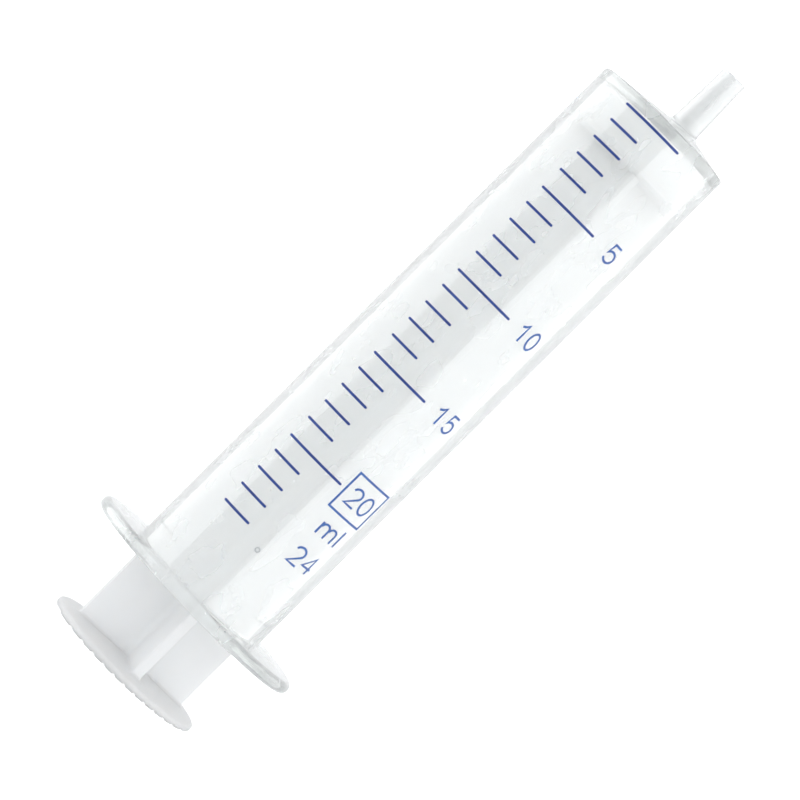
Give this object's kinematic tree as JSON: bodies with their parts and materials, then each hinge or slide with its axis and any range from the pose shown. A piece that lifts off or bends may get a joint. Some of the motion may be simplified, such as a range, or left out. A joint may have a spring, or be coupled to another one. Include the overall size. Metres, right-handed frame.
{
  "type": "oral syringe",
  "caption": "Straight-barrelled dosing syringe with an oval finger flange, an off-centre slip tip, a printed volume scale and a plunger with a cross-shaped rod and a round thumb rest.",
  "frame": {"origin": "centre of the thumb rest's underside, on the syringe's axis; the syringe stands on its thumb rest with the plunger pushed fully in", "axes": "+Z along the syringe's axis towards its tip, +X along the long axis of the finger flange, +Y towards the off-centre tip, so that the printed scale faces -Y"},
  "size_m": [0.0382, 0.0256, 0.1169],
  "materials": {
    "barrel_plastic": "clear, faintly hazy moulded polypropylene, gloss",
    "plunger_plastic": "milky white moulded polyethylene, satin",
    "scale_ink": "blue printed ink, satin"
  },
  "bodies": {
    "barrel": {"barrel": "barrel_plastic"},
    "piston": {"piston_head": "plunger_plastic"},
    "plunger": {"plunger_rod": "plunger_plastic"}
  },
  "joints": [
    {"name": "plunger_slide", "type": "slide", "parent": "barrel", "child": "piston", "axis": [0, 0, -1], "range_m": [0, 0.078]},
    {"name": "plunger_spin", "type": "hinge", "parent": "piston", "child": "plunger", "pos_m": [0, 0, 0.097], "axis": [0, 0, 1], "continuous": true}
  ]
}
